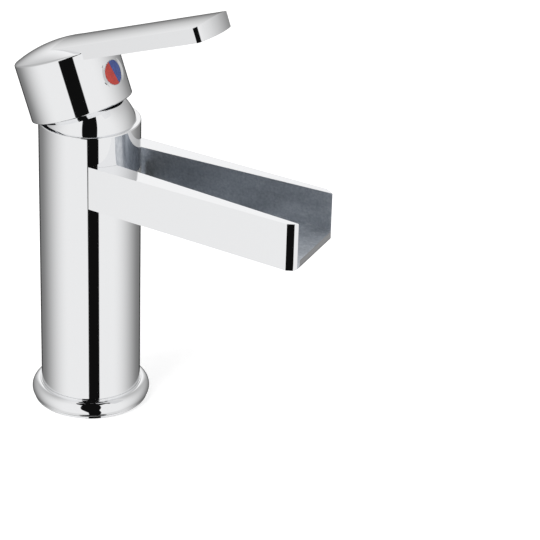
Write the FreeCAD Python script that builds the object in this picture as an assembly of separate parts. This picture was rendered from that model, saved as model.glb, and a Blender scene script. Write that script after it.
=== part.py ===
import FreeCAD, Part
import math
import os

# Single-lever waterfall basin tap with an open trough spout.
# Millimetres. The tap axis is Z, the deck is z = 0 and the spout points along +X.
# Hot is on the -Y side, which is the user's left.

Vector = FreeCAD.Vector
ORIGIN = Vector(0, 0, 0)
AXIS_X = Vector(1, 0, 0)
AXIS_Y = Vector(0, 1, 0)
AXIS_Z = Vector(0, 0, 1)

# Clearances
close_fit = 0.03            # pieces that are pressed, soldered or screwed together
running_fit = 0.08          # the lever's pivot
film_gap = 0.1              # water film between the two ceramic discs
moving_gap = 0.3            # between pieces that move past each other
seam_gap = 0.05             # brazed joint of the spout on the body

# How the handle stands: fully open and turned a little towards hot
lift_angle = 20.6
turn_angle = -6.0

# Body tube, built outwards from the cartridge that it holds
cartridge_radius = 17.3
water_gap = 2.7
body_wall = 2.5
foot_extra_wall = 1.0
rim_height = 137.0
rim_round = 0.6
foot_height = 3.0

# Base flange and its gasket
flange_height = 8.2
flange_step = 1.1
flange_step_depth = 0.5
flange_bulge = 4.2
flange_bulge_height = 4.2
flange_foot_inset = 1.0
flange_foot_height = 1.0
flange_opening = 16.0
gasket_width = 4.5
gasket_thickness = 1.2
gasket_inset = 1.6

# Spout trough
spout_half_width = 20.0
spout_reach = 110.0
spout_top_drop = 13.0       # below the body's rim, measured on the tap axis
spout_depth = 19.9          # outside, measured on the tap axis
spout_top_fall = 2.9        # degrees
spout_bottom_fall = 3.9     # degrees
wall_at_root = 9.5
wall_at_tip = 2.9
wall_root_place = 10.3      # distance from the axis at which the root wall is measured
floor_thickness = 4.5
tip_round = 2.7
lip_round = 1.6

# Water slot in the body behind the trough
slot_half_width = 9.0
slot_height = 8.5

# Inlets, risers and valve seat
inlet_back = 5.0
inlet_side = 7.0
inlet_port_radius = 4.5
inlet_port_depth = 10.0
inlet_block_height = 17.0
waterway_radius = 3.0
riser_radius = 5.0
riser_wall = 1.0
riser_socket = 4.5
seat_height = 14.0
seat_pad_height = 6.0
outlet_forward = 7.5
outlet_radius = 3.8
outlet_depth = 7.5
seat_ring_section = 2.0
port_seal_width = 1.5
port_seal_height = 1.4

# Cartridge, measured from the lever's pivot
pivot_below_rim = 6.5
housing_wall = 1.8
housing_plate = 2.5
rotor_neck_radius = 10.0
rotor_neck_rise = 7.5
rotor_flange_below = 4.0
rotor_flange_thickness = 4.0
housing_neck_wall = 2.4
housing_neck_rise = 5.5
lever_foot_drop = 11.0
lever_foot_radius = 2.8
lever_foot_gap = 0.5
lever_foot_width = 6.0
lever_leg_thickness = 3.4
stem_width = 7.5
stem_rise = 30.0
stem_below = 3.0
pivot_pin_radius = 1.5
stop_gap = 0.35
carrier_plate = 1.5
carrier_rim = 1.1
carrier_travel_gap = 0.5
carrier_slot_gap = 0.2
rail_inner_place = 7.8
rail_outer_place = 10.5
moving_disc_thickness = 4.0
moving_disc_sunk = 1.0
mixing_pocket_depth = 2.5
fixed_disc_thickness = 4.5
fixed_disc_inset = 2.0
fixed_disc_sunk = 1.2
base_floor = 5.1
base_spigot = 2.3
neck_seal_section = 1.4
neck_seal_below = 2.6

# Cartridge nut and trim dome
nut_spigot_inset = 3.0
nut_spigot_rise = 3.6
nut_notch_width = 4.0
nut_notch_count = 4
dome_base_overlap = 0.5
dome_rise = 15.5
dome_plate = 2.2
dome_opening_gap = 0.6

# Handle, in its own frame: pivot at the origin, skirt along Z, blade along +X
handle_overhang = 0.3
skirt_wall = 1.5
skirt_gap = 4.75            # above the body's rim when the lever is down
skirt_height = 26.2
skirt_round = 0.7
cap_rise = 5.0
roof_thickness = 2.4
blade_half_width = 12.4
blade_reach = 84.0
blade_tip_bow = 4.0
blade_corner_round = 3.0
blade_below_cap_top = 0.05  # the blade's top carries on from the cap's curve
blade_top_fall = 0.5        # degrees
blade_thickness = 7.7       # in the middle, on the tap axis
blade_bottom_fall = 0.6     # degrees
blade_edge_round = 0.7
boss_radius = 8.5
boss_gap = 0.6
socket_gap = 0.1
socket_end_gap = 0.3
index_radius = 4.9
index_height = 24.4
index_pad_rim = 1.5
index_pad_depth = 5.8
index_recess_depth = 3.5
index_proud = 0.15
index_rim = 0.5
index_inlay_depth = 1.2
index_turn = 16.0           # degrees, as the plug was pressed in
grub_radius = 2.5
grub_length = 8.0
grub_key_radius = 1.3
grub_key_depth = 2.5
rib_wall = 2.0

# Fixing below the deck
stud_forward = 10.0
stud_radius = 4.0
stud_bite = 12.0
stud_drop = 60.0
deck_thickness = 20.0
clamp_radius = 24.0
clamp_slot_half_width = 14.5
clamp_stud_wall = 2.6
clamp_plate = 2.5
clamp_gasket = 2.5
clamp_hole_gap = 0.5
nut_across_flats = 13.0
nut_height = 6.5

# Worked out from the sizes above
body_bore = cartridge_radius + water_gap
body_radius = body_bore + body_wall
foot_bore = body_bore - foot_extra_wall
pivot_height = rim_height - pivot_below_rim
housing_bore = cartridge_radius - housing_wall
disc_travel = lever_foot_drop * math.sin(math.radians(lift_angle))
rotor_flange_bottom = -rotor_flange_below - rotor_flange_thickness
moving_disc_top = -(lever_foot_drop + lever_foot_radius + lever_foot_gap)
moving_disc_bottom = moving_disc_top - moving_disc_thickness
fixed_disc_top = moving_disc_bottom - film_gap
fixed_disc_bottom = fixed_disc_top - fixed_disc_thickness
base_top = fixed_disc_bottom + fixed_disc_sunk
base_bottom = fixed_disc_bottom - base_floor
shoulder = -rotor_flange_below + moving_gap + housing_plate
seat_top = pivot_height + base_bottom
seat_bottom = seat_top - seat_pad_height - seat_height
inlet_block_top = foot_height + inlet_block_height
carrier_radius = housing_bore - disc_travel - carrier_travel_gap
moving_disc_radius = carrier_radius - carrier_rim
fixed_disc_radius = housing_bore - fixed_disc_inset
dome_base_radius = body_bore + dome_base_overlap
dome_radius = math.hypot(dome_base_radius, pivot_below_rim)
stem_half = stem_width / 2
stem_lean_at_dome = (stem_half / math.cos(math.radians(lift_angle))
                     + dome_rise * math.tan(math.radians(lift_angle)))
dome_opening = math.hypot(stem_lean_at_dome, stem_half) + dome_opening_gap
handle_radius = body_radius + handle_overhang
skirt_bore = handle_radius - skirt_wall
skirt_bottom = pivot_below_rim + skirt_gap
cap_edge = skirt_bottom + skirt_height
cap_top = cap_edge + cap_rise
cap_radius = (handle_radius ** 2 + cap_rise ** 2) / (2 * cap_rise)
roof = cap_edge - roof_thickness
dome_top_radius = math.sqrt(dome_radius ** 2 - dome_rise ** 2)
boss_clear_radius = dome_radius + boss_gap
dome_corner_angle = math.atan2(dome_top_radius, dome_rise) - math.radians(lift_angle)
boss_bottom = max(math.sqrt(boss_clear_radius ** 2 - boss_radius ** 2),
                  boss_clear_radius * math.cos(dome_corner_angle))
spout_top_root = rim_height - spout_top_drop
spout_bottom_root = spout_top_root - spout_depth
flange_seat_radius = body_radius + seam_gap
flange_widest = body_radius + flange_bulge


def cylinder(radius, low, high, x=0.0, y=0.0):
    return Part.makeCylinder(radius, high - low, Vector(x, y, low), AXIS_Z)


def ring(outer, inner, low, high, x=0.0, y=0.0):
    return cylinder(outer, low, high, x, y).cut(cylinder(inner, low, high, x, y))


def block(low_corner, high_corner):
    size = [high - low for low, high in zip(low_corner, high_corner)]
    return Part.makeBox(size[0], size[1], size[2], Vector(*low_corner))


def rod_along_x(radius, start, end, height):
    return Part.makeCylinder(radius, end - start, Vector(start, 0, height), AXIS_X)


def turned(edges):
    face = Part.Face(Part.Wire(edges))
    return face.revolve(ORIGIN, AXIS_Z, 360)


def line(start, end):
    return Part.makeLine(Vector(start[0], 0, start[1]), Vector(end[0], 0, end[1]))


def arc(start, middle, end):
    points = [Vector(radius, 0, height) for radius, height in (start, middle, end)]
    return Part.Arc(*points).toShape()


def closed_outline(corners):
    edges = []
    for start, end in zip(corners, corners[1:] + corners[:1]):
        edges.append(line(start, end))
    return edges


def upright_edges(shape, x_low, x_high, y_least=0.0):
    """Straight edges along Z whose middle lies in the given band of X."""
    found = []
    for edge in shape.Edges:
        ends = [vertex.Point for vertex in edge.Vertexes]
        if len(ends) != 2:
            continue
        run = ends[1].sub(ends[0])
        middle = ends[0].add(ends[1]).multiply(0.5)
        upright = abs(run.z) > 3 * math.hypot(run.x, run.y)
        if upright and x_low < middle.x < x_high and abs(middle.y) >= y_least:
            found.append(edge)
    return found


def merged(first, *others):
    return first.fuse(list(others)).removeSplitter()


def placed_on_rotor(shape, slide=0.0):
    """From the cartridge frame, with the pivot at the origin, to the turned cartridge."""
    moved = shape.copy()
    moved.translate(Vector(slide, 0, 0))
    moved.rotate(ORIGIN, AXIS_Z, turn_angle)
    moved.translate(Vector(0, 0, pivot_height))
    return moved


def placed_on_lever(shape):
    """From the handle frame to the lifted and turned handle."""
    moved = shape.copy()
    moved.rotate(ORIGIN, AXIS_Y, -lift_angle)
    return placed_on_rotor(moved)


def placed_on_body(shape):
    """From the cartridge frame to the fixed part of the cartridge."""
    moved = shape.copy()
    moved.translate(Vector(0, 0, pivot_height))
    return moved


# ---- Body, flange and spout ----

def spout_floor_height(x):
    """Top of the trough's floor at a distance x from the tap axis."""
    fall = x * math.tan(math.radians(spout_bottom_fall))
    return spout_bottom_root - fall + floor_thickness


def make_body_tube():
    inner_top = rim_height - rim_round
    outline = [
        line((foot_bore, foot_height), (body_radius, foot_height)),
        line((body_radius, foot_height), (body_radius, inner_top)),
        line((body_radius, inner_top), (body_radius - rim_round, rim_height)),
        line((body_radius - rim_round, rim_height), (body_bore, rim_height)),
        line((body_bore, rim_height), (body_bore, seat_bottom)),
        line((body_bore, seat_bottom), (foot_bore, seat_bottom)),
        line((foot_bore, seat_bottom), (foot_bore, foot_height)),
    ]
    tube = turned(outline)
    slot_bottom = spout_floor_height(body_radius)
    slot = block(
        (body_bore / 2, -slot_half_width, slot_bottom),
        (body_radius + body_wall, slot_half_width, slot_bottom + slot_height),
    )
    return tube.cut(slot)


def make_base_flange():
    step_radius = body_radius + flange_step
    step_bottom = flange_height - flange_step_depth
    foot_radius = flange_widest - flange_foot_inset
    shell = turned([
        line((flange_opening, 0), (foot_radius, 0)),
        line((foot_radius, 0), (foot_radius, flange_foot_height)),
        arc((foot_radius, flange_foot_height), (flange_widest, flange_bulge_height),
            (step_radius, step_bottom)),
        line((step_radius, step_bottom), (step_radius - flange_step_depth, step_bottom)),
        line((step_radius - flange_step_depth, step_bottom),
             (step_radius - flange_step_depth, flange_height)),
        line((step_radius - flange_step_depth, flange_height), (flange_seat_radius, flange_height)),
        line((flange_seat_radius, flange_height), (flange_seat_radius, foot_height)),
        line((flange_seat_radius, foot_height), (flange_opening, foot_height)),
        line((flange_opening, foot_height), (flange_opening, 0)),
    ])
    outer = foot_radius - gasket_inset
    groove = ring(outer + close_fit, outer - gasket_width - close_fit, 0, gasket_thickness)
    return shell.cut(groove)


def make_base_gasket():
    outer = flange_widest - flange_foot_inset - gasket_inset
    return ring(outer, outer - gasket_width, 0, gasket_thickness)


def make_spout():
    top_slope = math.tan(math.radians(spout_top_fall))
    bottom_slope = math.tan(math.radians(spout_bottom_fall))
    tip_top = spout_top_root - spout_reach * top_slope
    tip_bottom = spout_bottom_root - spout_reach * bottom_slope
    outline = closed_outline([
        (0, spout_bottom_root),
        (spout_reach, tip_bottom),
        (spout_reach, tip_top),
        (0, spout_top_root),
    ])
    side = Part.Face(Part.Wire(outline))
    side.translate(Vector(0, -spout_half_width, 0))
    solid = side.extrude(Vector(0, 2 * spout_half_width, 0))
    solid = solid.makeFillet(tip_round, upright_edges(solid, spout_reach - 1, spout_reach + 1))

    flare = (wall_at_root - wall_at_tip) / (spout_reach - wall_root_place)
    overrun = 2.0
    half_at_axis = spout_half_width - wall_at_root - wall_root_place * flare
    half_at_end = spout_half_width - wall_at_tip + overrun * flare
    end = spout_reach + overrun
    plan = Part.makePolygon([
        Vector(0, -half_at_axis, 0),
        Vector(end, -half_at_end, 0),
        Vector(end, half_at_end, 0),
        Vector(0, half_at_axis, 0),
        Vector(0, -half_at_axis, 0),
    ])
    channel = Part.Face(plan).extrude(Vector(0, 0, rim_height))
    floor_outline = closed_outline([
        (0, spout_floor_height(0)),
        (end, spout_floor_height(end)),
        (end, rim_height),
        (0, rim_height),
    ])
    above_floor = Part.Face(Part.Wire(floor_outline))
    above_floor.translate(Vector(0, -spout_half_width, 0))
    above_floor = above_floor.extrude(Vector(0, 2 * spout_half_width, 0))
    solid = solid.cut(channel.common(above_floor))

    lip = []
    for edge in solid.Edges:
        middle = edge.CenterOfMass
        across = abs(edge.Vertexes[0].Point.y - edge.Vertexes[-1].Point.y)
        low = middle.z < tip_bottom + floor_thickness + 1
        if middle.x > spout_reach - 0.5 and low and across > spout_half_width:
            lip.append(edge)
    solid = solid.makeFillet(lip_round, lip)
    return solid.cut(cylinder(body_radius + seam_gap, 0, rim_height))


# ---- Inlets, risers and valve seat ----

def inlet_places():
    return [(-inlet_back, -inlet_side), (-inlet_back, inlet_side)]


def make_inlet_block():
    solid = cylinder(foot_bore - close_fit, foot_height, inlet_block_top)
    cuts = []
    for x, y in inlet_places():
        cuts.append(cylinder(inlet_port_radius, foot_height, foot_height + inlet_port_depth, x, y))
        cuts.append(cylinder(waterway_radius, foot_height, inlet_block_top, x, y))
        cuts.append(cylinder(riser_radius + close_fit, inlet_block_top - riser_socket,
                             inlet_block_top, x, y))
    cuts.append(cylinder(stud_radius + close_fit, foot_height, foot_height + stud_bite,
                         stud_forward, 0))
    return solid.cut(cuts)


def make_riser(x, y):
    low = inlet_block_top - riser_socket
    high = seat_bottom + riser_socket
    return ring(riser_radius, riser_radius - riser_wall, low, high, x, y)


def seat_ring_middle():
    return seat_bottom + seat_height / 2


def make_valve_seat():
    pad_bottom = seat_bottom + seat_height
    radius = body_bore - close_fit
    solid = merged(cylinder(radius, seat_bottom, pad_bottom),
                   cylinder(cartridge_radius, pad_bottom, seat_top))
    cuts = []
    for x, y in inlet_places():
        cuts.append(cylinder(waterway_radius, seat_bottom, seat_top, x, y))
        cuts.append(cylinder(riser_radius + close_fit, seat_bottom, seat_bottom + riser_socket, x, y))
    channel_bottom = seat_top - outlet_depth
    cuts.append(cylinder(outlet_radius, channel_bottom, seat_top, outlet_forward, 0))
    channel_roof = seat_top - (seat_top - pad_bottom) / 4
    cuts.append(block((outlet_forward, -outlet_radius, pad_bottom),
                      (cartridge_radius + 1, outlet_radius, channel_roof)))
    half = seat_ring_section / 2
    cuts.append(ring(radius + 1, radius - seat_ring_section,
                     seat_ring_middle() - half, seat_ring_middle() + half))
    return solid.cut(cuts)


def make_seat_ring():
    outer = body_bore - close_fit
    half = seat_ring_section / 2 - close_fit
    return ring(outer, outer - seat_ring_section + close_fit,
                seat_ring_middle() - half, seat_ring_middle() + half)


# ---- Cartridge ----

def port_openings():
    """Place and radius of the two inlets and the outlet in the cartridge's base and disc."""
    openings = [(x, y, waterway_radius) for x, y in inlet_places()]
    openings.append((outlet_forward, 0, outlet_radius))
    return openings


def make_port_seals():
    seals = []
    for x, y, radius in port_openings():
        seals.append(ring(radius + port_seal_width, radius, base_bottom,
                          base_bottom + port_seal_height, x, y))
    return placed_on_body(Part.makeCompound(seals))


def make_cartridge_base():
    flange_top = base_top - base_spigot
    solid = merged(cylinder(cartridge_radius, base_bottom, flange_top),
                   cylinder(housing_bore - close_fit, flange_top, base_top))
    cuts = [cylinder(fixed_disc_radius + close_fit, fixed_disc_bottom, base_top)]
    for x, y, radius in port_openings():
        cuts.append(cylinder(radius, base_bottom, base_top, x, y))
        cuts.append(cylinder(radius + port_seal_width + close_fit, base_bottom,
                             base_bottom + port_seal_height, x, y))
    return placed_on_body(solid.cut(cuts))


def make_fixed_disc():
    solid = cylinder(fixed_disc_radius, fixed_disc_bottom, fixed_disc_top)
    cuts = [cylinder(radius, fixed_disc_bottom, fixed_disc_top, x, y)
            for x, y, radius in port_openings()]
    return placed_on_body(solid.cut(cuts))


def make_housing():
    low = base_top - base_spigot
    plate_bottom = shoulder - housing_plate
    neck_bore = rotor_neck_radius + moving_gap
    outer = merged(cylinder(cartridge_radius, low, shoulder),
                   cylinder(neck_bore + housing_neck_wall, shoulder, housing_neck_rise))
    room = cylinder(housing_bore, low, plate_bottom)
    return placed_on_body(outer.cut([room, cylinder(neck_bore, low, housing_neck_rise)]))


def make_rotor():
    flange_radius = housing_bore - moving_gap
    rail_bottom = moving_disc_top + carrier_plate + moving_gap
    neck = cylinder(rotor_neck_radius, -rotor_flange_below, rotor_neck_rise)
    flange = cylinder(flange_radius, rotor_flange_bottom, -rotor_flange_below)
    solid = merged(neck, flange)
    for side in (-1, 1):
        near, far = sorted([side * rail_inner_place, side * rail_outer_place])
        rail = block((-flange_radius, near, rail_bottom), (flange_radius, far, rotor_flange_bottom))
        solid = merged(solid, rail.common(cylinder(flange_radius, rail_bottom, rotor_flange_bottom)))
    lift = math.radians(lift_angle)
    back = stem_half / math.cos(lift) + rotor_neck_rise * math.tan(lift) + stop_gap
    side_room = stem_half + moving_gap
    front = stem_half / math.cos(lift) + stop_gap
    upper = block((-back, -side_room, 0), (front, side_room, rotor_neck_rise))
    lower = block((-front, -side_room, rotor_flange_bottom),
                  (disc_travel + lever_foot_radius + stop_gap, side_room, 0))
    pin_hole = Part.makeCylinder(pivot_pin_radius + close_fit, 2 * rotor_neck_radius,
                                 Vector(0, -rotor_neck_radius, 0), AXIS_Y)
    groove_top = rotor_neck_rise - neck_seal_below
    groove = ring(rotor_neck_radius + 1, rotor_neck_radius - neck_seal_section,
                  groove_top - neck_seal_section, groove_top)
    return placed_on_rotor(solid.cut([upper, lower, pin_hole, groove]))


def make_neck_seal():
    top = rotor_neck_rise - neck_seal_below
    return placed_on_rotor(ring(rotor_neck_radius, rotor_neck_radius - neck_seal_section + close_fit,
                                top - neck_seal_section + close_fit, top - close_fit))


def make_pivot_pin():
    length = 2 * rotor_neck_radius - 1
    pin = Part.makeCylinder(pivot_pin_radius, length, Vector(0, -length / 2, 0), AXIS_Y)
    return placed_on_rotor(pin)


def make_carrier():
    top = rotor_flange_bottom - moving_gap
    step = moving_disc_top + carrier_plate
    side_room = rail_inner_place - moving_gap
    skirt_low = moving_disc_top - moving_disc_sunk
    plate = cylinder(carrier_radius, skirt_low, step)
    rider = cylinder(carrier_radius, step, top).common(
        block((-carrier_radius, -side_room, step), (carrier_radius, side_room, top)))
    recess = cylinder(moving_disc_radius + close_fit, skirt_low, moving_disc_top)
    half = lever_foot_radius + carrier_slot_gap
    width = lever_foot_width / 2 + moving_gap
    slot = block((-half, -width, moving_disc_top), (half, width, top))
    return placed_on_rotor(merged(plate, rider).cut([recess, slot]), disc_travel)


def make_moving_disc():
    solid = cylinder(moving_disc_radius, moving_disc_bottom, moving_disc_top)
    pocket_radius = moving_disc_radius / 2
    pocket = cylinder(pocket_radius, moving_disc_bottom, moving_disc_bottom + mixing_pocket_depth)
    return placed_on_rotor(solid.cut(pocket), disc_travel)


def make_lever_stem():
    bar = block((-stem_half, -stem_half, -stem_below), (stem_half, stem_half, stem_rise))
    leg_half = lever_leg_thickness / 2
    foot_half = lever_foot_width / 2
    leg = block((-leg_half, -foot_half, -lever_foot_drop), (leg_half, foot_half, 0))
    foot = Part.makeCylinder(lever_foot_radius, lever_foot_width,
                             Vector(0, -foot_half, -lever_foot_drop), AXIS_Y)
    pin_hole = Part.makeCylinder(pivot_pin_radius + running_fit, stem_width,
                                 Vector(0, -stem_half, 0), AXIS_Y)
    return placed_on_lever(merged(bar, leg, foot).cut(pin_hole))


# ---- Cartridge nut and trim dome ----

def make_cartridge_nut():
    low = pivot_height + shoulder
    thread_top = rim_height - moving_gap
    spigot = body_bore - nut_spigot_inset
    bore = rotor_neck_radius + moving_gap + housing_neck_wall + moving_gap
    top = rim_height + nut_spigot_rise
    solid = merged(cylinder(body_bore - close_fit, low, thread_top),
                   cylinder(spigot, thread_top, top))
    solid = solid.cut(cylinder(bore, low, top))
    for index in range(nut_notch_count):
        notch = block((bore / 2, -nut_notch_width / 2, thread_top),
                      (spigot + 1, nut_notch_width / 2, top))
        notch.rotate(ORIGIN, AXIS_Z, 360.0 / nut_notch_count * (index + 0.5))
        solid = solid.cut(notch)
    return solid


def make_trim_dome():
    inner = body_bore - nut_spigot_inset + close_fit
    thread_top = rim_height + nut_spigot_rise + moving_gap
    top = pivot_height + dome_rise
    middle_rise = (pivot_below_rim + dome_rise) / 2
    middle_radius = math.sqrt(dome_radius ** 2 - middle_rise ** 2)
    plate_bottom = top - dome_plate
    return turned([
        line((inner, rim_height), (dome_base_radius, rim_height)),
        arc((dome_base_radius, rim_height), (middle_radius, pivot_height + middle_rise),
            (dome_top_radius, top)),
        line((dome_top_radius, top), (dome_opening, top)),
        line((dome_opening, top), (dome_opening, plate_bottom)),
        line((dome_opening, plate_bottom), (inner, thread_top)),
        line((inner, thread_top), (inner, rim_height)),
    ])


# ---- Handle ----

def make_blade():
    straight = blade_reach - blade_tip_bow
    plan = Part.Wire([
        Part.makeLine(Vector(0, -blade_half_width, 0), Vector(straight, -blade_half_width, 0)),
        Part.Arc(Vector(straight, -blade_half_width, 0), Vector(blade_reach, 0, 0),
                 Vector(straight, blade_half_width, 0)).toShape(),
        Part.makeLine(Vector(straight, blade_half_width, 0), Vector(0, blade_half_width, 0)),
        Part.makeLine(Vector(0, blade_half_width, 0), Vector(0, -blade_half_width, 0)),
    ])
    solid = Part.Face(plan).extrude(Vector(0, 0, cap_top + 1))
    corners = upright_edges(solid, straight - 1, straight + 1)
    solid = solid.makeFillet(blade_corner_round, corners)
    ridge = cap_top - blade_below_cap_top
    bottom_at_axis = ridge - blade_thickness
    end = blade_reach + 1
    outline = closed_outline([
        (0, bottom_at_axis),
        (end, bottom_at_axis - end * math.tan(math.radians(blade_bottom_fall))),
        (end, cap_top + 1),
        (0, cap_top + 1),
    ])
    side = Part.Face(Part.Wire(outline))
    side.translate(Vector(0, -handle_radius, 0))
    solid = solid.common(side.extrude(Vector(0, 2 * handle_radius, 0)))
    fall = math.radians(blade_top_fall)
    along = Vector(math.cos(fall), 0, -math.sin(fall))
    crown = Part.makeCylinder(cap_radius, end + handle_radius,
                              Vector(0, 0, ridge - cap_radius) - along * handle_radius, along)
    solid = solid.common(crown)
    rounded = []
    for edge in solid.Edges:
        middle = edge.CenterOfMass
        ends = [vertex.Point for vertex in edge.Vertexes]
        upright = abs(ends[0].z - ends[-1].z) > blade_thickness / 2
        if middle.x > 1 and not upright:
            rounded.append(edge)
    return solid.makeFillet(blade_edge_round, rounded)


def make_handle():
    round_start = skirt_bottom + skirt_round
    middle = handle_radius / 2
    middle_height = cap_top - cap_radius + math.sqrt(cap_radius ** 2 - middle ** 2)
    outer = turned([
        line((0, skirt_bottom), (handle_radius - skirt_round, skirt_bottom)),
        line((handle_radius - skirt_round, skirt_bottom), (handle_radius, round_start)),
        line((handle_radius, round_start), (handle_radius, cap_edge)),
        arc((handle_radius, cap_edge), (middle, middle_height), (0, cap_top)),
        line((0, cap_top), (0, skirt_bottom)),
    ])
    shell = outer.cut(cylinder(skirt_bore, skirt_bottom, roof))
    pad_start = handle_radius - index_pad_depth
    pad_radius = index_radius + index_pad_rim
    pad = rod_along_x(pad_radius, pad_start, handle_radius, index_height)
    pad = pad.common(cylinder(skirt_bore + skirt_wall / 2, 0, cap_edge))
    rib = rod_along_x(grub_radius + rib_wall, 0, pad_start + 1, index_height)
    boss = cylinder(boss_radius, boss_bottom, roof + roof_thickness / 2)
    shell = merged(shell, make_blade(), boss, rib, pad)
    socket_half = stem_half + socket_gap
    socket = block((-socket_half, -socket_half, boss_bottom - rib_wall - grub_radius),
                   (socket_half, socket_half, stem_rise + socket_end_gap))
    recess_start = handle_radius - index_recess_depth
    recess = rod_along_x(index_radius, recess_start, handle_radius + 1, index_height)
    screw_way = rod_along_x(grub_radius + close_fit, 0, recess_start + 1, index_height)
    below_boss = cylinder(boss_radius, 0, boss_bottom)
    return placed_on_lever(shell.cut([socket, recess, screw_way, below_boss]))


def make_grub_screw():
    start = stem_half
    end = start + grub_length
    screw = rod_along_x(grub_radius, start, end, index_height)
    key = rod_along_x(grub_key_radius, end - grub_key_depth, end, index_height)
    return placed_on_lever(screw.cut(key))


def index_piece(radius, start):
    """A round plug with its outer face on the curve of the handle's skirt."""
    rod = rod_along_x(radius, start, handle_radius + 1, index_height)
    return rod.common(cylinder(handle_radius + index_proud, 0, cap_edge))


def make_index_plug():
    start = handle_radius - index_recess_depth
    outer = index_piece(index_radius - close_fit, start)
    inlay = index_piece(index_radius - index_rim, handle_radius - index_inlay_depth)
    return placed_on_lever(outer.cut(inlay))


def make_index_half(side):
    inlay = index_piece(index_radius - index_rim - close_fit, handle_radius - index_inlay_depth)
    reach = handle_radius + 1
    near, far = sorted([side * close_fit / 2, side * 2 * index_radius])
    keep = block((0, near, -2 * index_radius), (reach, far, 2 * index_radius))
    keep.rotate(ORIGIN, AXIS_X, index_turn)
    keep.translate(Vector(0, 0, index_height))
    return placed_on_lever(inlay.common(keep))


# ---- Fixing below the deck ----

def make_stud():
    return cylinder(stud_radius, -stud_drop, foot_height + stud_bite, stud_forward, 0)


def make_horseshoe(low, thickness, hole_gap):
    plate = cylinder(clamp_radius, low, low + thickness)
    slot_end = stud_forward - stud_radius - clamp_stud_wall
    slot = block((-clamp_radius, -clamp_slot_half_width, low),
                 (slot_end, clamp_slot_half_width, low + thickness))
    hole = cylinder(stud_radius + hole_gap, low, low + thickness, stud_forward, 0)
    return plate.cut([slot, hole])


def make_clamp_gasket():
    return make_horseshoe(-deck_thickness - clamp_gasket, clamp_gasket, clamp_hole_gap)


def make_clamp_washer():
    return make_horseshoe(-deck_thickness - clamp_gasket - clamp_plate, clamp_plate,
                          clamp_hole_gap)


def make_stud_nut():
    top = -deck_thickness - clamp_gasket - clamp_plate
    corner_radius = nut_across_flats / 2 / math.cos(math.radians(30))
    corners = []
    for index in range(7):
        angle = math.radians(60 * index)
        corners.append(Vector(stud_forward + corner_radius * math.cos(angle),
                              corner_radius * math.sin(angle), top - nut_height))
    prism = Part.Face(Part.makePolygon(corners)).extrude(Vector(0, 0, nut_height))
    return prism.cut(cylinder(stud_radius + running_fit, top - nut_height, top, stud_forward, 0))


def make_all():
    hot_place, cold_place = inlet_places()
    return {
        "body_tube": make_body_tube(),
        "spout_trough": make_spout(),
        "base_flange": make_base_flange(),
        "base_gasket": make_base_gasket(),
        "inlet_block": make_inlet_block(),
        "hot_riser": make_riser(*hot_place),
        "cold_riser": make_riser(*cold_place),
        "valve_seat": make_valve_seat(),
        "seat_ring": make_seat_ring(),
        "port_seals": make_port_seals(),
        "cartridge_base": make_cartridge_base(),
        "fixed_disc": make_fixed_disc(),
        "cartridge_housing": make_housing(),
        "cartridge_nut": make_cartridge_nut(),
        "trim_dome": make_trim_dome(),
        "cartridge_rotor": make_rotor(),
        "neck_seal": make_neck_seal(),
        "pivot_pin": make_pivot_pin(),
        "disc_carrier": make_carrier(),
        "moving_disc": make_moving_disc(),
        "lever_stem": make_lever_stem(),
        "handle_lever": make_handle(),
        "grub_screw": make_grub_screw(),
        "index_plug": make_index_plug(),
        "index_red": make_index_half(-1),
        "index_blue": make_index_half(1),
        "mounting_stud": make_stud(),
        "clamp_gasket": make_clamp_gasket(),
        "clamp_washer": make_clamp_washer(),
        "stud_nut": make_stud_nut(),
    }


os.makedirs("parts", exist_ok=True)
for name, shape in make_all().items():
    shape.exportStep("parts/" + name + ".step")
    box = shape.BoundBox
    print("%-18s solids %d valid %s volume %.1f  z %.1f to %.1f"
          % (name, len(shape.Solids), shape.isValid(), shape.Volume, box.ZMin, box.ZMax))
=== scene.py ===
import math

import bpy
from mathutils import Matrix, Vector


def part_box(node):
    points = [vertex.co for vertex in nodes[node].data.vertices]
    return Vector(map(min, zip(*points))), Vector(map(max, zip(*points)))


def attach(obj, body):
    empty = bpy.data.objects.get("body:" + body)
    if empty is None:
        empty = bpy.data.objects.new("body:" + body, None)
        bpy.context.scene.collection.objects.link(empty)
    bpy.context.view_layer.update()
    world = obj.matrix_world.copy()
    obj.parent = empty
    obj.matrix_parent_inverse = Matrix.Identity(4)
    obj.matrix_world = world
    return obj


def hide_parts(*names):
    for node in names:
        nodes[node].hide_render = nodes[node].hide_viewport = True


# The looks of a single-lever waterfall basin tap, in metres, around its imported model.
# The tap axis is Z, the deck is z = 0 and the spout points along +X.

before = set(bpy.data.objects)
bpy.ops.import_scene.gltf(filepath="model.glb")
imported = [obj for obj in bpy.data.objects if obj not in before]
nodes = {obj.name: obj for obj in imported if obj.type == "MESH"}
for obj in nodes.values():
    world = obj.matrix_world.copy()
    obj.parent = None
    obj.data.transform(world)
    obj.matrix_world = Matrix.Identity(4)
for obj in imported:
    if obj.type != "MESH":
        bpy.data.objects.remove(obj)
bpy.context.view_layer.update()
scene = bpy.context.scene

# ---- Sizes, from the frame where a piece's box gives them ----

tube_low, tube_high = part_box("body_tube")
flange_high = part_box("base_flange")[1]
spout_low, spout_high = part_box("spout_trough")
dome_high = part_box("trim_dome")[1]
stud_low, stud_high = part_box("mounting_stud")
washer_low, washer_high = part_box("clamp_washer")
gasket_low, gasket_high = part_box("clamp_gasket")
nut_low, nut_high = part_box("stud_nut")

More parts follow.
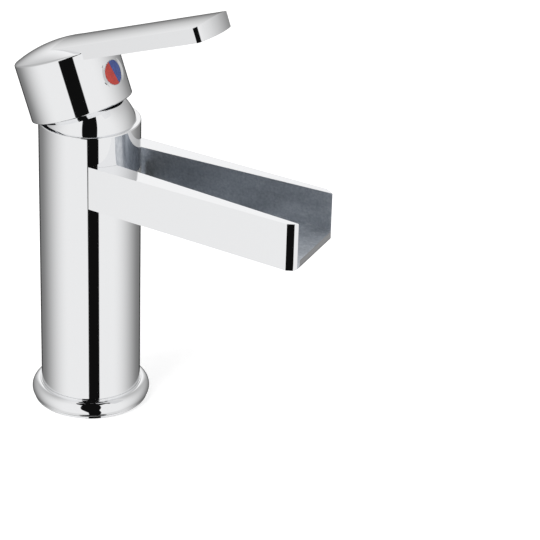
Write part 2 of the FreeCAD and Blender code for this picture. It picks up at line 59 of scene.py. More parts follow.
body_radius = tube_high.x
rim_height = tube_high.z
foot_height = tube_low.z
body_bore = body_radius - 0.0025
foot_bore = body_bore - 0.001
seat_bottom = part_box("valve_seat")[0].z
pivot_height = rim_height - 0.0065
seam_gap = 0.00005
dome_radius = math.hypot(dome_high.x, rim_height - pivot_height)
past = 0.001                             # how far a cutter runs past, or a joined piece into, another

lift_angle = math.radians(20.6)
turn_angle = math.radians(-6)
lever_place = (Matrix.Translation((0, 0, pivot_height))
               @ Matrix.Rotation(turn_angle, 4, "Z")
               @ Matrix.Rotation(-lift_angle, 4, "Y"))

round_steps = 160


# ---- Modelling helpers ----

def only(piece):
    """Selects one piece and nothing else."""
    bpy.ops.object.select_all(action="DESELECT")
    piece.select_set(True)
    bpy.context.view_layer.objects.active = piece


def edit(piece):
    only(piece)
    bpy.ops.object.mode_set(mode="EDIT")
    bpy.ops.mesh.select_all(action="SELECT")


def leave_edit():
    bpy.ops.object.mode_set(mode="OBJECT")


def named(name):
    piece = bpy.context.object
    piece.name = name
    piece.data.name = name
    return piece


def drawn(name, points):
    """A line of edges through the given points, left open in edit mode."""
    bpy.ops.object.select_all(action="DESELECT")
    bpy.ops.mesh.primitive_plane_add(size=0.001, location=(0, 0, 0))
    piece = named(name)
    edit(piece)
    bpy.ops.mesh.merge(type="CENTER")
    bpy.ops.transform.translate(value=points[0])
    for start, end in zip(points, points[1:]):
        step = Vector(end) - Vector(start)
        bpy.ops.mesh.extrude_region_move(TRANSFORM_OT_translate={"value": step})
    bpy.ops.mesh.select_all(action="SELECT")
    return piece


def tidied():
    """Merges what lies on itself and turns all faces outwards, in edit mode."""
    bpy.ops.mesh.select_all(action="SELECT")
    bpy.ops.mesh.remove_doubles(threshold=0.000002)
    bpy.ops.mesh.normals_make_consistent(inside=False)
    leave_edit()


def turned(name, profile, steps=round_steps):
    """A piece turned round the Z axis from a line of (radius, height) points."""
    piece = drawn(name, [(radius, 0, height) for radius, height in profile])
    bpy.ops.mesh.spin(steps=steps, angle=2 * math.pi, center=(0, 0, 0), axis=(0, 0, 1))
    tidied()
    return piece


def outlined(name, corners, low, high):
    """A plate or block with the given plan, from one height to another."""
    piece = drawn(name, [(x, y, low) for x, y in corners])
    bpy.ops.mesh.edge_face_add()
    bpy.ops.mesh.extrude_region_move(TRANSFORM_OT_translate={"value": (0, 0, high - low)})
    tidied()
    return piece


def trimmed(piece, place, normal):
    """Cuts off what lies on the normal's side of a plane and closes the cut."""
    edit(piece)
    bpy.ops.mesh.bisect(plane_co=place, plane_no=normal, use_fill=True, clear_outer=True)
    tidied()


def arc(centre, radius, start, end, count):
    """Points on an arc, its angles in degrees."""
    points = []
    for index in range(count + 1):
        angle = math.radians(start + (end - start) * index / count)
        points.append((centre[0] + radius * math.cos(angle),
                       centre[1] + radius * math.sin(angle)))
    return points


def apply(piece, modifier):
    only(piece)
    bpy.ops.object.modifier_apply(modifier=modifier.name)


def combined(piece, tool, operation):
    """Cuts, unites or crosses a piece with a tool, and deletes the tool."""
    modifier = piece.modifiers.new("boolean", "BOOLEAN")
    modifier.operation = operation
    modifier.solver = "EXACT"
    modifier.object = tool
    apply(piece, modifier)
    bpy.data.objects.remove(tool)
    edit(piece)
    tidied()
    return piece


def bevelled(piece, width, segments=3, angle=30):
    modifier = piece.modifiers.new("bevel", "BEVEL")
    modifier.width = width
    modifier.segments = segments
    modifier.limit_method = "ANGLE"
    modifier.angle_limit = math.radians(angle)
    modifier.miter_outer = "MITER_ARC"
    apply(piece, modifier)
    return piece


def polished(piece, angle=30):
    """Smooth shading between sharp edges, with large faces kept flat."""
    only(piece)
    bpy.ops.object.shade_smooth_by_angle(angle=math.radians(angle))
    modifier = piece.modifiers.new("normals", "WEIGHTED_NORMAL")
    modifier.keep_sharp = True
    modifier.weight = 90
    apply(piece, modifier)
    return piece


def placed(piece, matrix):
    """Moves a piece and keeps its place in its mesh."""
    only(piece)
    piece.matrix_world = matrix
    bpy.ops.object.transform_apply(location=True, rotation=True, scale=True)
    return piece


def along_x(piece, height=0.0):
    """Turns a piece from standing along Z to lying along +X at a height."""
    return placed(piece, Matrix.Translation((0, 0, height)) @ Matrix.Rotation(math.pi / 2, 4, "Y"))


def rod(name, radius, low, high, steps=64):
    return turned(name, [(0, low), (radius, low), (radius, high), (0, high)], steps)


def finished(piece, materials, body, slot, *replaced):
    """Gives a piece its materials and its body, and hides the nodes it stands for. The slot argument
    is not used.
    """
    for material in materials:
        piece.data.materials.append(material)
    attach(piece, body)
    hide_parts(*replaced)
    return piece


# ---- Materials ----

class Finish:
    """A material of shader nodes, read from Object coordinates."""

    def __init__(self, name, colour, metallic, roughness):
        self.material = bpy.data.materials.new(name)
        self.material.use_nodes = True
        self.tree = self.material.node_tree
        self.shader = self.tree.nodes["Principled BSDF"]
        self.shader.inputs["Base Color"].default_value = (*colour, 1)
        self.shader.inputs["Metallic"].default_value = metallic
        self.shader.inputs["Roughness"].default_value = roughness
        self.place = self.tree.nodes.new("ShaderNodeTexCoord").outputs["Object"]

    def link(self, output, target):
        self.tree.links.new(output, target)

    def noise(self, scale, detail=3.0, stretch=(1, 1, 1), roughness=0.5):
        """A noise of features one to the given number to the metre, stretched by axis."""
        mapping = self.tree.nodes.new("ShaderNodeMapping")
        mapping.inputs["Scale"].default_value = stretch
        self.link(self.place, mapping.inputs["Vector"])
        noise = self.tree.nodes.new("ShaderNodeTexNoise")
        noise.inputs["Scale"].default_value = scale
        noise.inputs["Detail"].default_value = detail
        noise.inputs["Roughness"].default_value = roughness
        self.link(mapping.outputs["Vector"], noise.inputs["Vector"])
        return noise.outputs["Fac"]

    def mixed(self, first, second, share):
        """A mean of two patterns, with a share of the second."""
        mix = self.tree.nodes.new("ShaderNodeMix")
        mix.inputs["Factor"].default_value = share
        self.link(first, mix.inputs["A"])
        self.link(second, mix.inputs["B"])
        return mix.outputs["Result"]

    def ranged(self, pattern, low, high, dark=0.3, light=0.7):
        """A pattern's dark to light stretch set to run from low to high."""
        ranged = self.tree.nodes.new("ShaderNodeMapRange")
        ranged.inputs["From Min"].default_value = dark
        ranged.inputs["From Max"].default_value = light
        ranged.inputs["To Min"].default_value = low
        ranged.inputs["To Max"].default_value = high
        self.link(pattern, ranged.inputs["Value"])
        return ranged.outputs["Result"]

    def roughened(self, pattern, low, high):
        self.link(self.ranged(pattern, low, high), self.shader.inputs["Roughness"])

    def coloured(self, pattern, stops):
        """Colours by a pattern, from (place, colour) stops."""
        ramp = self.tree.nodes.new("ShaderNodeValToRGB")
        elements = ramp.color_ramp.elements
        elements[0].position = stops[0][0]
        elements[0].color = (*stops[0][1], 1)
        elements[1].position = stops[-1][0]
        elements[1].color = (*stops[-1][1], 1)
        for place, colour in stops[1:-1]:
            elements.new(place).color = (*colour, 1)
        self.link(pattern, ramp.inputs["Fac"])
        self.link(ramp.outputs["Color"], self.shader.inputs["Base Color"])

    def bumped(self, pattern, height):
        bump = self.tree.nodes.new("ShaderNodeBump")
        bump.inputs["Distance"].default_value = height
        self.link(pattern, bump.inputs["Height"])
        self.link(bump.outputs["Normal"], self.shader.inputs["Normal"])


def chrome_finish():
    finish = Finish("polished_chrome", (0.93, 0.935, 0.945), 1.0, 0.03)
    finish.roughened(finish.noise(220, 4), 0.018, 0.05)
    finish.bumped(finish.noise(90, 1), 0.0000015)
    return finish.material


def casting_finish():
    """Plate over the casting's skin, as it is left inside the trough."""
    finish = Finish("plated_casting", (0.2, 0.21, 0.23), 1.0, 0.4)
    clouds = finish.noise(70, 5, (0.6, 1, 1), 0.6)
    grain = finish.noise(900, 4)
    mottle = finish.mixed(clouds, grain, 0.35)
    finish.coloured(mottle, [(0.36, (0.42, 0.45, 0.49)), (0.5, (0.56, 0.59, 0.63)),
                             (0.66, (0.76, 0.78, 0.81))])
    finish.roughened(clouds, 0.5, 0.28)
    finish.bumped(mottle, 0.00035)
    return finish.material


def brass_finish():
    finish = Finish("machined_brass", (0.78, 0.58, 0.28), 1.0, 0.3)
    rings = finish.noise(300, 3, (0.2, 0.2, 12))
    stain = finish.noise(60, 4)
    finish.coloured(stain, [(0.3, (0.62, 0.43, 0.19)), (0.7, (0.82, 0.63, 0.33))])
    finish.roughened(rings, 0.22, 0.42)
    finish.bumped(rings, 0.00001)
    return finish.material


def copper_finish():
    finish = Finish("drawn_copper", (0.8, 0.42, 0.28), 1.0, 0.28)
    lines = finish.noise(900, 3, (1, 1, 0.03))
    stain = finish.noise(80, 4)
    finish.coloured(stain, [(0.3, (0.62, 0.29, 0.18)), (0.7, (0.86, 0.5, 0.35))])
    finish.roughened(lines, 0.2, 0.42)
    finish.bumped(lines, 0.000006)
    return finish.material


def steel_finish():
    finish = Finish("zinc_plated_steel", (0.6, 0.61, 0.63), 1.0, 0.32)
    cloud = finish.noise(130, 4)
    grain = finish.noise(1500, 2)
    finish.coloured(cloud, [(0.3, (0.47, 0.48, 0.5)), (0.7, (0.68, 0.69, 0.7))])
    finish.roughened(finish.mixed(cloud, grain, 0.4), 0.25, 0.45)
    finish.bumped(grain, 0.000012)
    return finish.material


def rubber_finish():
    finish = Finish("black_rubber", (0.03, 0.03, 0.032), 0.0, 0.6)
    grain = finish.noise(1400, 3)
    finish.coloured(finish.noise(120, 3), [(0.3, (0.02, 0.02, 0.021)), (0.7, (0.045, 0.045, 0.047))])
    finish.roughened(grain, 0.5, 0.75)
    finish.bumped(grain, 0.00003)
    return finish.material


def plastic_finish(name, dark, light):
    finish = Finish(name, light, 0.0, 0.4)
    grain = finish.noise(1100, 3)
    finish.coloured(finish.noise(70, 3), [(0.3, dark), (0.7, light)])
    finish.roughened(grain, 0.32, 0.5)
    finish.bumped(grain, 0.000012)
    return finish.material


def ceramic_finish():
    finish = Finish("lapped_ceramic", (0.88, 0.87, 0.83), 0.0, 0.15)
    speck = finish.noise(800, 4)
    finish.coloured(speck, [(0.3, (0.82, 0.81, 0.77)), (0.7, (0.9, 0.89, 0.86))])
    finish.roughened(speck, 0.1, 0.22)
    return finish.material


def enamel_finish(name, dark, light):
    finish = Finish(name, light, 0.0, 0.2)
    finish.shader.inputs["Coat Weight"].default_value = 0.5
    finish.shader.inputs["Coat Roughness"].default_value = 0.04
    finish.coloured(finish.noise(500, 3), [(0.3, dark), (0.7, light)])
    finish.roughened(finish.noise(900, 2), 0.18, 0.3)
    finish.bumped(finish.noise(350, 1), 0.000008)
    return finish.material


chrome = chrome_finish()
casting = casting_finish()
brass = brass_finish()
copper = copper_finish()
steel = steel_finish()
rubber = rubber_finish()
white_plastic = plastic_finish("white_plastic", (0.74, 0.74, 0.71), (0.84, 0.84, 0.82))
grey_plastic = plastic_finish("grey_plastic", (0.36, 0.38, 0.41), (0.46, 0.48, 0.51))
ceramic = ceramic_finish()
ring_finish = enamel_finish("index_ring", (0.62, 0.63, 0.65), (0.74, 0.75, 0.77))
red_enamel = enamel_finish("red_enamel", (0.66, 0.03, 0.015), (0.8, 0.05, 0.025))
blue_enamel = enamel_finish("blue_enamel", (0.03, 0.07, 0.35), (0.05, 0.11, 0.46))


# ---- Body tube, flange and dome ----

def make_tube():
    """The body's tube, with the water slot behind the trough."""
    slot_half_width = 0.009
    slot_bottom = 0.10705
    slot_top = slot_bottom + 0.0085
    slot_front = body_radius + 0.003
    ring_margin = 0.002
    rim_round = 0.0006
    rim = arc((body_radius - rim_round, rim_height - rim_round), rim_round, 0, 90, 4)
    inner_rim = arc((body_bore + rim_round / 2, rim_height - rim_round / 2), rim_round / 2, 90, 180, 3)
    slot_rings = [slot_bottom - ring_margin, slot_top + ring_margin]
    profile = [(foot_bore, foot_height), (body_radius, foot_height)]
    profile += [(body_radius, height) for height in slot_rings]
    profile += rim + inner_rim
    profile += [(body_bore, height) for height in reversed(slot_rings)]
    profile += [(body_bore, seat_bottom), (foot_bore, seat_bottom), (foot_bore, foot_height)]
    tube = turned("tube", profile)
    corners = [(body_bore / 2, -slot_half_width), (slot_front, -slot_half_width),
               (slot_front, slot_half_width), (body_bore / 2, slot_half_width)]
    slot = outlined("slot_cutter", corners, slot_bottom, slot_top)
    combined(tube, slot, "DIFFERENCE")
    polished(tube)
    return finished(tube, [chrome], "tap", "chrome", "body_tube")


def make_flange():
    """The trim ring on the deck: a round bead, a fine step and the gasket's groove."""
    height = flange_high.z
    widest = flange_high.x
    widest_height = 0.0042
    foot_radius = widest - 0.001
    foot_top = 0.001
    step_radius = body_radius + 0.0011
    step = 0.0005
    seat_radius = body_radius + seam_gap
    opening = 0.016
    groove_outer = foot_radius - 0.00157
    groove_inner = groove_outer - 0.00456
    groove_depth = 0.0012
    bead = three_point_arc((foot_radius, foot_top), (widest, widest_height),
                           (step_radius, height - step), 26)
    edge = 0.00022
    profile = [(opening, 0), (groove_inner, 0), (groove_inner, groove_depth),
               (groove_outer, groove_depth), (groove_outer, 0), (foot_radius - edge, 0),
               (foot_radius, edge)]
    profile += bead
    profile += [(step_radius - step, height - step)]
    profile += arc((step_radius - step - edge, height - edge), edge, 0, 90, 4)
    profile += [(seat_radius, height), (seat_radius, foot_height), (opening, foot_height),
                (opening, 0)]
    flange = turned("flange", profile)
    polished(flange)
    return finished(flange, [chrome], "tap", "chrome", "base_flange")


def three_point_arc(start, middle, end, count):
    """Points on the arc through three points of a (radius, height) profile."""
    (ax, az), (bx, bz), (cx, cz) = start, middle, end
    d = 2 * (ax * (bz - cz) + bx * (cz - az) + cx * (az - bz))
    a2 = ax * ax + az * az
    b2 = bx * bx + bz * bz
    c2 = cx * cx + cz * cz
    ux = (a2 * (bz - cz) + b2 * (cz - az) + c2 * (az - bz)) / d
    uz = (a2 * (cx - bx) + b2 * (ax - cx) + c2 * (bx - ax)) / d
    radius = math.hypot(ax - ux, az - uz)
    first = math.degrees(math.atan2(az - uz, ax - ux))
    last = math.degrees(math.atan2(cz - uz, cx - ux))
    return arc((ux, uz), radius, first, last, count)


def make_dome():
    """The ball-shaped trim over the cartridge, open at the top for the stem."""
    top = dome_high.z
    base_radius = dome_high.x
    inner = body_bore - 0.00297
    inner_rise = 0.0039
    plate = 0.0022
    opening = 0.01112
    edge = 0.0004
    first = math.degrees(math.atan2(rim_height - pivot_height, base_radius))
    last = math.degrees(math.asin((top - edge - pivot_height) / dome_radius))
    profile = [(inner, rim_height), (base_radius, rim_height)]
    profile += arc((0, pivot_height), dome_radius, first, last, 30)[1:]
    profile += [(profile[-1][0] - edge, top), (opening + edge, top), (opening, top - edge),
                (opening, top - plate), (inner, rim_height + inner_rise), (inner, rim_height)]
    dome = turned("dome", profile)
    polished(dome)
    return finished(dome, [chrome], "tap", "chrome", "trim_dome")


# ---- Spout ----

spout_half_width = spout_high.y
spout_reach = spout_high.x
spout_top_root = rim_height - 0.013      # where the spout's top would meet the tap axis
spout_bottom_root = spout_top_root - 0.0199
top_slope = math.tan(math.radians(2.9))
bottom_slope = math.tan(math.radians(3.9))
floor_thickness = 0.0045
wall_flare = 0.0662
inner_half_at_axis = 0.0105 - 0.0103 * wall_flare


def mirrored_plan(side):
    """A plan from the points of its -Y side, going out along +X, and their mirror images."""
    return side + [(x, -y) for x, y in reversed(side)]


def make_spout():
    """The open trough: a polished casting with its inside left as cast."""
    below_spout = spout_low.z - 0.02
    edge = 0.0003
    facet_start = (spout_reach - 0.0047, -spout_half_width)
    facet_end = (spout_reach - 0.002, -spout_half_width + 0.0015)
    wall_end = (spout_reach - 0.0006, -spout_half_width + 0.0029)
    lip_end = (spout_reach, -spout_half_width + 0.0041)
    plan = mirrored_plan([(0, -spout_half_width), facet_start, facet_end, wall_end, lip_end])
    spout = outlined("spout", plan, below_spout, rim_height)
    trimmed(spout, (0, 0, spout_top_root), (top_slope, 0, 1))
    trimmed(spout, (0, 0, spout_bottom_root), (-bottom_slope, 0, -1))
    lip_round = 0.002
    lip_centre = Vector((spout_reach - lip_round, 0,
                         spout_bottom_root - spout_reach * bottom_slope + lip_round))
    for angle in (12, 30, 48, 66, 82):
        out = Vector((math.sin(math.radians(angle)), 0, -math.cos(math.radians(angle))))
        trimmed(spout, lip_centre + out * lip_round, out)

    end = spout_reach + 0.002
    channel_plan = mirrored_plan([(0, -inner_half_at_axis),
                                  (end, -inner_half_at_axis - end * wall_flare)])
    channel = outlined("channel_cutter", channel_plan, 0, rim_height)
    floor_root = spout_bottom_root + floor_thickness
    trimmed(channel, (0, 0, floor_root), (-bottom_slope, 0, -1))
    combined(spout, channel, "DIFFERENCE")
    saddle = rod("saddle_cutter", body_radius + seam_gap, 0, rim_height, round_steps)
    combined(spout, saddle, "DIFFERENCE")
    bevelled(spout, edge, 2, 20)
    polished(spout, 40)
    finished(spout, [chrome, casting], "tap", "trough_chrome", "spout_trough")
    for face in spout.data.polygons:
        x, y, z = face.center
        inside = abs(y) < inner_half_at_axis + x * wall_flare + 0.00005
        above_floor = z > floor_root - x * bottom_slope - 0.0002
        in_front = x > body_radius + 0.0005
        below_top = z < spout_top_root - x * top_slope - edge
        if inside and above_floor and in_front and below_top:
            face.material_index = 1
    return spout


# ---- Lever: skirt, cap and blade in one casting ----

handle_radius = 0.0228
skirt_bore = handle_radius - 0.0015
skirt_bottom = 0.01125
cap_edge = 0.03745
cap_rise = 0.005
cap_top = cap_edge + cap_rise
cap_radius = (handle_radius ** 2 + cap_rise ** 2) / (2 * cap_rise)
roof = cap_edge - 0.0024                 # the underside of the cap, inside the skirt
index_height = 0.0244
index_radius = 0.0056
recess_start = handle_radius - 0.0035
recess_end = handle_radius + past


def make_shell():
    """The skirt with its crowned cap, turned about the lever's own upright axis."""
    cap_centre = cap_top - cap_radius
    edge = 0.0004
    edge_angle = 0.6
    foot_round = 0.0007
    rim_angle = math.degrees(math.atan2(cap_edge - cap_centre, handle_radius))
    crown = arc((0, cap_centre), cap_radius, rim_angle + edge_angle, 90, 24)
    foot = arc((handle_radius - foot_round, skirt_bottom + foot_round), foot_round, -90, 0, 5)
    profile = [(0, roof), (skirt_bore, roof), (skirt_bore, skirt_bottom)]
    profile += foot
    profile += [(handle_radius, cap_edge - edge), (handle_radius - edge / 3, cap_edge - edge / 3)]
    profile += crown
    return turned("lever", profile)


def make_lip():
    """A ledge inside the skirt's front that nearly meets the dome. The back stays clear of the rim."""
    clear = 0.0004
    back = -0.003
    inner = math.sqrt((dome_radius + clear) ** 2 - skirt_bottom ** 2)
    outer = handle_radius - 0.001
    low = skirt_bottom + 0.00005
    high = skirt_bottom + 0.0008
    lip = turned("lip", [(inner, low), (outer, low), (outer, high), (inner, high), (inner, low)])
    trimmed(lip, (back, 0, 0), (-1, 0, 0))
    return lip


def blade_plan():
    """The blade seen from above: a facet at its near end corner, a round at its far one."""
    half_width = 0.0124
    reach = 0.084
    facet_start = reach - 0.004
    facet_length = 0.0024
    facet_angle = math.radians(38)
    facet_end = (facet_start + facet_length * math.cos(facet_angle),
                 -half_width + facet_length * math.sin(facet_angle))
    bow = reach - facet_end[0]
    tip_radius = (facet_end[1] ** 2 + bow ** 2) / (2 * bow)
    tip_centre = reach - tip_radius
    near = math.degrees(math.asin(-facet_end[1] / tip_radius))
    corner_round = 0.004
    corner_y = half_width - corner_round
    corner_x = tip_centre + math.sqrt((tip_radius - corner_round) ** 2 - corner_y ** 2)
    far = math.degrees(math.atan2(corner_y, corner_x - tip_centre))
    plan = [(0, -half_width), (facet_start, -half_width)]
    plan += arc((tip_centre, 0), tip_radius, -near, far, 26)
    plan += arc((corner_x, corner_y), corner_round, far, 90, 14)[1:]
    return plan + [(0, half_width)]


def make_crown(ridge, reach):
    """A long block whose top carries the cap's curve out along the blade."""
    overrun = 0.01
    half_angle = 20
    fall = math.radians(0.5)
    top = arc((cap_radius - ridge, 0), cap_radius, 180 - half_angle, 180 + half_angle, 40)
    half_width = cap_radius * math.sin(math.radians(half_angle))
    crown = outlined("crown", top + [(0, -half_width), (0, half_width)], -overrun,
                     reach + overrun)
    along_x(crown)
    return placed(crown, Matrix.Translation((0, 0, ridge)) @ Matrix.Rotation(fall, 4, "Y")
                  @ Matrix.Translation((0, 0, -ridge)))


def make_blade():
    """The flat arm, its underside falling a little towards the tip."""
    ridge = cap_top - 0.00005
    thickness = 0.0077
    bottom = ridge - thickness
    underside_fall = math.tan(math.radians(0.6))
    plan = blade_plan()
    blade = outlined("blade", plan, bottom - 0.01, cap_top + past)
    trimmed(blade, (0, 0, bottom), (-underside_fall, 0, -1))
    combined(blade, make_crown(ridge, max(x for x, y in plan)), "INTERSECT")
    return bevelled(blade, 0.0005, 3, 40)


def make_lever():
    """The whole casting, with the boss for the stem and the bored pad for the index plug."""
    lever = make_shell()
    combined(lever, make_blade(), "UNION")
    combined(lever, make_lip(), "UNION")

    boss_bottom = 0.0204
    boss_radius = 0.0085
    boss_overlap = 0.0012
    combined(lever, rod("boss", boss_radius, boss_bottom, roof + boss_overlap), "UNION")
    rib_radius = 0.0045
    pad_start = handle_radius - 0.0058
    pad_end = handle_radius - 0.0005
    rib = along_x(rod("rib", rib_radius, boss_radius / 2, pad_start + past), index_height)
    combined(lever, rib, "UNION")
    pad = along_x(rod("pad", index_radius + 0.0015, pad_start, pad_end), index_height)
    combined(lever, pad, "UNION")

    socket_half = 0.00385
    socket_top = 0.0303
    square = mirrored_plan([(-socket_half, -socket_half), (socket_half, -socket_half)])
    combined(lever, outlined("socket_cutter", square, 0, socket_top), "DIFFERENCE")
    recess = along_x(rod("recess_cutter", index_radius, recess_start, recess_end), index_height)
    combined(lever, recess, "DIFFERENCE")
    screw_radius = 0.00253
    screw_way = along_x(rod("screw_cutter", screw_radius, 0, recess_start + past, 32), index_height)
    combined(lever, screw_way, "DIFFERENCE")
    polished(lever)
    finished(lever, [chrome, casting], "lever", "chrome", "handle_lever")

    hair = 0.0001
    for face in lever.data.polygons:
        x, y, z = face.center
        if math.hypot(x, y) < skirt_bore + hair and skirt_bottom + hair < z < roof + hair:
            face.material_index = 1
    return placed(lever, lever_place)


# ---- Index plug with its red and blue halves ----

def skirt_faced(piece, proud):
    """Trims a rod along +X to the curve of the skirt."""
    skirt = rod("skirt_cutter", handle_radius + proud, 0, cap_edge, round_steps * 2)
    return combined(piece, skirt, "INTERSECT")


def make_index():
    """The plug in its recess, with the red half on the hot side and the blue on the cold."""
    proud = 0.00015
    inlay_proud = proud - 0.0001
    clear = 0.00003
    inlay_start = handle_radius - 0.0012
    inlay_radius = index_radius - 0.0002
    facets = 72
    ring = along_x(rod("index_plug_ring", index_radius - clear, recess_start, recess_end, facets),
                   index_height)
    skirt_faced(ring, proud)
    hole = along_x(rod("inlay_cutter", inlay_radius, inlay_start, recess_end, facets), index_height)
    combined(ring, hole, "DIFFERENCE")
    bevelled(ring, 0.0001, 2, 40)
    polished(ring)
    placed(ring, lever_place)
    finished(ring, [ring_finish], "lever", "index_ring", "index_plug")

    tilt = math.radians(16)
    for name, side, enamel in (("index_red", -1, red_enamel), ("index_blue", 1, blue_enamel)):
        half = along_x(rod(name + "_half", inlay_radius - clear, inlay_start, recess_end, facets),
                       index_height)
        skirt_faced(half, inlay_proud)
        across = Vector((0, -side * math.cos(tilt), -side * math.sin(tilt)))
        trimmed(half, Vector((0, 0, index_height)) - across * clear / 2, across)
        bevelled(half, 0.00012, 2, 40)
        polished(half)
        placed(half, lever_place)
        finished(half, [enamel], "lever", name, name)


# ---- Deck fixing ----

stud_x = (stud_low.x + stud_high.x) / 2
stud_radius = (stud_high.x - stud_low.x) / 2


def make_stud():
    """An M8 stud: one thread profile wound up its whole length, cut square at both ends."""
    pitch = 0.00125
    depth = 0.00077
    turns = math.ceil((stud_high.z - stud_low.z) / pitch) + 2
    start = stud_low.z - pitch
    profile = [(stud_radius - depth, start), (stud_radius - depth, start + pitch * 0.15),
               (stud_radius, start + pitch * 0.5), (stud_radius, start + pitch * 0.62),
               (stud_radius - depth, start + pitch)]
    stud = drawn("stud", [(radius, 0, height) for radius, height in profile])
    leave_edit()
    modifier = stud.modifiers.new("screw", "SCREW")
    modifier.steps = 24
    modifier.render_steps = 24
    modifier.screw_offset = pitch
    modifier.iterations = turns
    modifier.use_merge_vertices = True
    apply(stud, modifier)
    edit(stud)
    bpy.ops.mesh.remove_doubles(threshold=0.000002)
    for height, side in ((stud_high.z, 1), (stud_low.z, -1)):
        bpy.ops.mesh.select_all(action="SELECT")
        bpy.ops.mesh.bisect(plane_co=(0, 0, height), plane_no=(0, 0, side), use_fill=True,
                            clear_outer=True)
    tidied()
    placed(stud, Matrix.Translation((stud_x, 0, 0)))
    polished(stud)
    return finished(stud, [steel], "tap", "steel", "mounting_stud")


def make_nut():
    """A hexagon nut with both faces chamfered and its thread's mouth countersunk."""
    flats = nut_high.y - nut_low.y
    corner = flats / 2 / math.cos(math.radians(30))
    low, high = nut_low.z, nut_high.z
    corners = arc((0, 0), corner, 0, 300, 5)
    nut = outlined("nut", corners, low, high)
    cone = 0.0008
    outside = corner + 0.0002
    face_radius = flats / 2 - 0.0001
    narrow = face_radius - (outside - face_radius) * past / cone
    turn = turned("chamfer_tool", [(0, low - past), (narrow, low - past), (outside, low + cone),
                                   (outside, high - cone), (narrow, high + past),
                                   (0, high + past)])
    combined(nut, turn, "INTERSECT")
    bore = stud_radius + 0.00008
    mouth = 0.0006
    wide = bore + mouth + past
    hole = turned("bore_tool", [(0, low - past), (wide, low - past), (bore, low + mouth),
                                (bore, high - mouth), (wide, high + past), (0, high + past)], 64)
    combined(nut, hole, "DIFFERENCE")
    placed(nut, Matrix.Translation((stud_x, 0, 0)))
    bevelled(nut, 0.00012, 2, 35)
    polished(nut)
    return finished(nut, [brass], "clamp", "brass", "stud_nut")


def make_horseshoe(name, low, high, edge, material, slot_name, node):
    """A round plate, open at the back for the two hoses."""
    radius = washer_high.x
    slot_half = 0.0145
    slot_end = stud_x - stud_radius - 0.0026
    back = -math.sqrt(radius ** 2 - slot_half ** 2)
    first = math.degrees(math.atan2(slot_half, back))
    rim = arc((0, 0), radius, first, -first, 120)
    plate = outlined(name, rim + [(slot_end, -slot_half), (slot_end, slot_half)], low, high)
    hole = rod("stud_hole_cutter", stud_radius + 0.0005, low - past, high + past)
    placed(hole, Matrix.Translation((stud_x, 0, 0)))
    combined(plate, hole, "DIFFERENCE")
    bevelled(plate, edge, 3, 40)
    polished(plate)
    return finished(plate, [material], "clamp", slot_name, node)


# ---- Put together ----

make_tube()
make_flange()
make_dome()
make_spout()
make_lever()
make_index()
make_stud()
make_nut()
make_horseshoe("clamp_plate", washer_low.z, washer_high.z, 0.0003, steel, "steel", "clamp_washer")
make_horseshoe("clamp_pad", gasket_low.z, gasket_high.z, 0.0004, rubber, "rubber", "clamp_gasket")

inner_finishes = {
    brass: ("inlet_block", "valve_seat", "cartridge_nut", "lever_stem"),
    copper: ("hot_riser", "cold_riser"),
    steel: ("pivot_pin", "grub_screw"),
    rubber: ("base_gasket", "seat_ring", "port_seals", "neck_seal"),
    white_plastic: ("cartridge_housing", "cartridge_rotor"),
    grey_plastic: ("cartridge_base", "disc_carrier"),
    ceramic: ("fixed_disc", "moving_disc"),
    chrome: ("body_tube", "base_flange", "trim_dome", "spout_trough", "handle_lever"),
}
for material, names in inner_finishes.items():
    for name in names:
        node_data = nodes[name].data
        node_data.materials.clear()
        node_data.materials.append(material)


# ---- Studio ----

camera_azimuth = math.radians(29.5)      # from straight in front of the tap's -Y side
camera_distance = 0.9866                 # level, from the tap axis
camera_height = 0.5637
camera_yaw = math.radians(-4.695)        # aimed past the axis, so that the tap stands at the left
camera_pitch = math.radians(26.875)
camera_roll = math.radians(1.87)
camera_lens = 163.5                      # for a 36 mm sensor


def make_camera():
    bpy.ops.object.camera_add()
    camera = bpy.context.object
    place = Vector((camera_distance * math.sin(camera_azimuth),
                    -camera_distance * math.cos(camera_azimuth), camera_height))
    camera.matrix_world = (Matrix.Translation(place)
                           @ Matrix.Rotation(camera_azimuth + camera_yaw, 4, "Z")
                           @ Matrix.Rotation(math.pi / 2 - camera_pitch, 4, "X")
                           @ Matrix.Rotation(camera_roll, 4, "Z"))
    camera.data.lens = camera_lens
    camera.data.sensor_width = 36
    camera.data.clip_start = 0.05
    camera.data.clip_end = 20
    scene.camera = camera


class Studio:
    """The world: a round room of pale panels with one tall dark gap in front of the tap."""

    def __init__(self):
        self.world = bpy.data.worlds.new("studio")
        scene.world = self.world
        self.world.use_nodes = True
        self.tree = self.world.node_tree
        self.background = self.tree.nodes["Background"]

    def link(self, output, target):
        self.tree.links.new(output, target)

    def math(self, operation, first, second=0.0):
        node = self.tree.nodes.new("ShaderNodeMath")
        node.operation = operation
        for value, socket in ((first, node.inputs[0]), (second, node.inputs[1])):
            if isinstance(value, (int, float)):
                socket.default_value = value
            else:
                self.link(value, socket)
        return node.outputs[0]

    def smooth(self, value, low, high):
        """0 below low, 1 above high, with a soft step between them."""
        node = self.tree.nodes.new("ShaderNodeMapRange")
        node.interpolation_type = "SMOOTHSTEP"
        node.inputs["From Min"].default_value = low
        node.inputs["From Max"].default_value = high
        self.link(value, node.inputs["Value"])
        return node.outputs["Result"]

    def mix(self, first, second, share):
        node = self.tree.nodes.new("ShaderNodeMix")
        node.data_type = "RGBA"
        self.link(share, node.inputs["Factor"])
        for value, socket in ((first, node.inputs[6]), (second, node.inputs[7])):
            if isinstance(value, tuple):
                socket.default_value = value
            else:
                self.link(value, socket)
        return node.outputs[2]


def grey(level):
    """A neutral colour of one level."""
    return (level, level, level, 1)


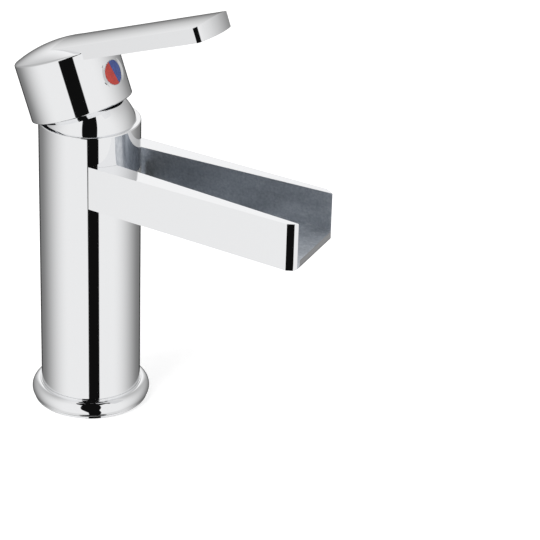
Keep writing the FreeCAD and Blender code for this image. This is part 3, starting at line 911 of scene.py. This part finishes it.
def make_studio():
    """Light ahead of the tap, dimmer back corners, light behind above and dark behind below.

    Side is the angle round from the camera and rise the angle up from level, in degrees.
    """
    studio = Studio()
    degree = math.pi / 180
    coordinates = studio.tree.nodes.new("ShaderNodeTexCoord")
    turn = studio.tree.nodes.new("ShaderNodeMapping")
    turn.inputs["Rotation"].default_value = (0, 0, -camera_azimuth)
    studio.link(coordinates.outputs["Generated"], turn.inputs["Vector"])
    split = studio.tree.nodes.new("ShaderNodeSeparateXYZ")
    studio.link(turn.outputs["Vector"], split.inputs[0])
    x, y, z = split.outputs
    side = studio.math("DIVIDE", studio.math("ARCTAN2", x, studio.math("MULTIPLY", y, -1.0)), degree)
    rise = studio.math("DIVIDE", studio.math("ARCSINE", z), degree)

    turned_away = studio.math("ABSOLUTE", side)
    corners = studio.mix(grey(0.2), grey(0.5), studio.smooth(rise, -30, 30))
    panels = studio.mix(grey(0.88), corners, studio.smooth(turned_away, 50, 145))
    behind = studio.mix(grey(0.02), grey(0.95), studio.smooth(rise, -25, 25))
    panels = studio.mix(panels, behind, studio.smooth(turned_away, 145, 165))
    panels = studio.mix(panels, grey(0.83), studio.smooth(rise, 50, 75))
    underfoot = studio.smooth(studio.math("MULTIPLY", rise, -1.0), 40, 60)
    panels = studio.mix(panels, grey(0.74), underfoot)

    # The dark gap leans, is wider away from level, and spreads out near straight up and down.
    steep_edge = studio.math("SUBTRACT", studio.math("MULTIPLY", rise, -0.35), 14.7)
    high_edge = studio.math("SUBTRACT", studio.math("MULTIPLY", rise, -0.14), 16.8)
    steep_edge = studio.math("MINIMUM", steep_edge, -5.0)
    beyond = studio.math("SUBTRACT", studio.math("ABSOLUTE", rise), 62.0)
    spread = studio.math("MULTIPLY", studio.math("MAXIMUM", beyond, 0.0), 4.0)
    left_edge = studio.math("SUBTRACT", studio.math("MAXIMUM", steep_edge, high_edge), spread)
    right_edge = studio.math("ADD", studio.math("MULTIPLY", studio.math("ABSOLUTE", rise), 0.15), 15.5)
    right_edge = studio.math("ADD", right_edge, spread)
    soft = 0.8
    in_left = studio.smooth(studio.math("SUBTRACT", side, left_edge), -soft, soft)
    in_right = studio.smooth(studio.math("SUBTRACT", right_edge, side), -soft, soft)
    gap = studio.math("MULTIPLY", in_left, in_right)
    room = studio.mix(panels, grey(0.005), gap)

    rays = studio.tree.nodes.new("ShaderNodeLightPath")
    seen = studio.mix(room, grey(1), rays.outputs["Is Camera Ray"])
    studio.link(seen, studio.background.inputs["Color"])
    studio.background.inputs["Strength"].default_value = 1.0


def make_floor():
    """A pale floor a hair under the deck seat. It keeps the tap's contact shadow."""
    bpy.ops.object.select_all(action="DESELECT")
    hair = 0.00003
    bpy.ops.mesh.primitive_plane_add(size=6, location=(0, 0, -hair))
    floor = named("floor")
    finish = Finish("pale_floor", (0.8, 0.8, 0.8), 0.0, 0.9)
    finish.shader.inputs["Specular IOR Level"].default_value = 0.0
    rays = finish.tree.nodes.new("ShaderNodeLightPath")
    strength = finish.ranged(rays.outputs["Is Camera Ray"], 0.0, 0.5, 0.0, 1.0)
    finish.shader.inputs["Emission Color"].default_value = (1, 1, 1, 1)
    finish.link(strength, finish.shader.inputs["Emission Strength"])
    floor.data.materials.append(finish.material)
    floor.visible_glossy = False


def make_lamps():
    """Soft light that brings painted colours to their own level and shows in no metal."""
    bpy.ops.object.light_add(type="AREA", location=(-0.5, -1.3, 1.3))
    lamp = bpy.context.object
    lamp.data.size = 1.2
    lamp.data.energy = 18
    lamp.rotation_euler = (Vector((0, 0, 0.1)) - lamp.location).to_track_quat("-Z", "Y").to_euler()
    lamp.visible_glossy = False


make_camera()
make_studio()
make_floor()
make_lamps()
scene.view_settings.view_transform = "Standard"
